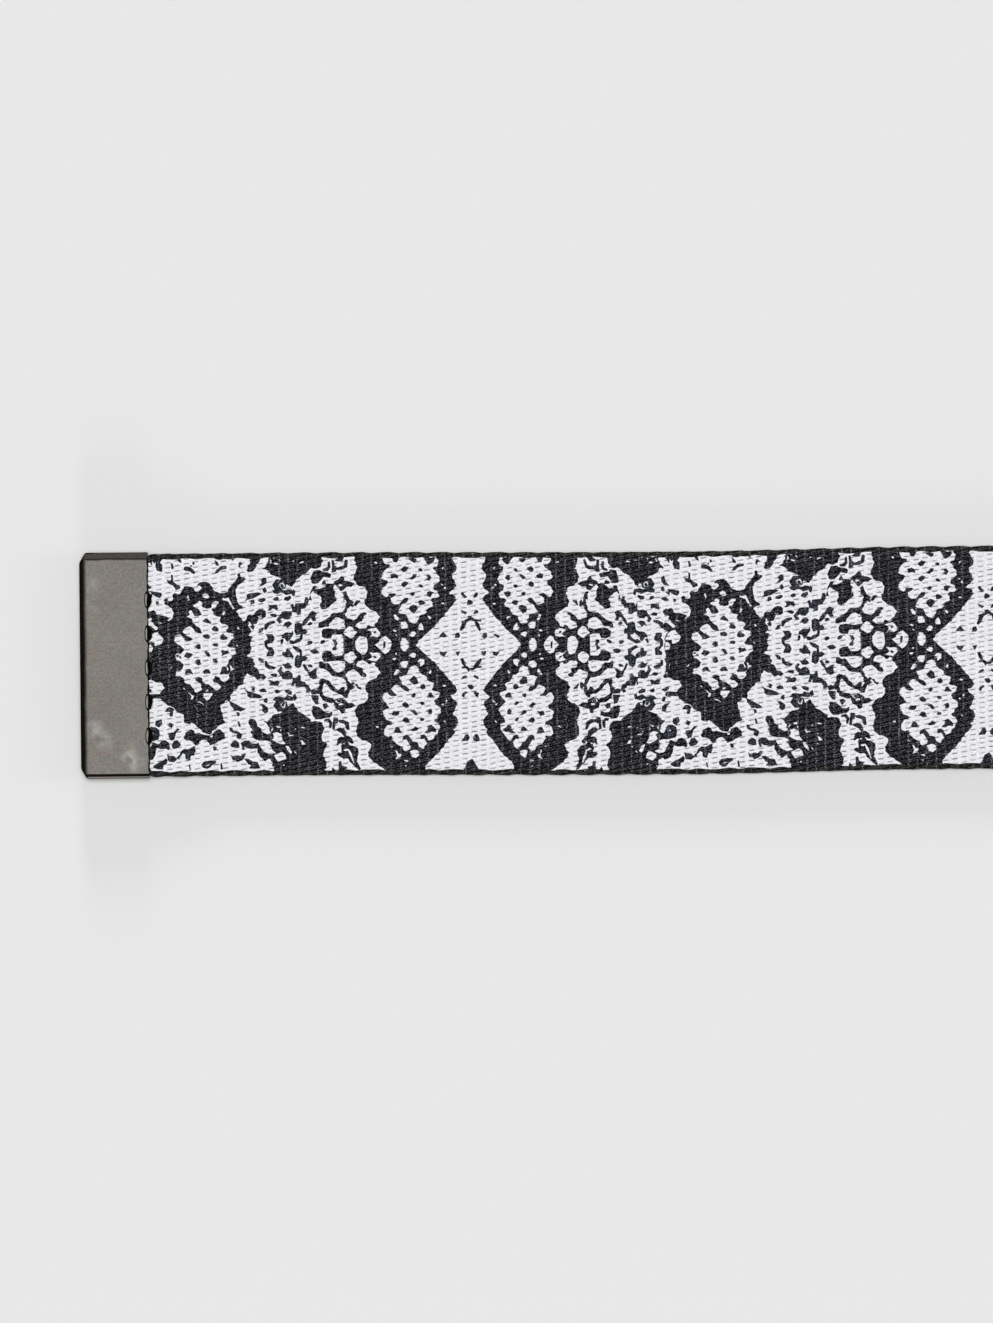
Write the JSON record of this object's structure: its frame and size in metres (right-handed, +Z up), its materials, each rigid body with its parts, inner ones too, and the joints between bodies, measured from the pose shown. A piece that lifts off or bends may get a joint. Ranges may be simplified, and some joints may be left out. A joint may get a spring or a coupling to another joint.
{
  "type": "snakeskin-print web belt",
  "caption": "Flat woven web belt with a snakeskin print, a folded metal tip over its free end and a plain plate buckle on the other.",
  "frame": {"origin": "middle of the belt's length and width, on its underside, where it lies on a surface", "axes": "+X along the belt from the metal tip to the buckle, +Y across it, +Z up out of the printed face"},
  "size_m": [1.15, 0.044, 0.0104],
  "materials": {
    "printed_webbing": "coarse web in black and white, matt, with black selvedges",
    "gunmetal": "satin gunmetal plating, softly mottled"
  },
  "bodies": {
    "root": {"strap": "printed_webbing", "belt_tip": "gunmetal", "buckle": "gunmetal"}
  },
  "joints": []
}
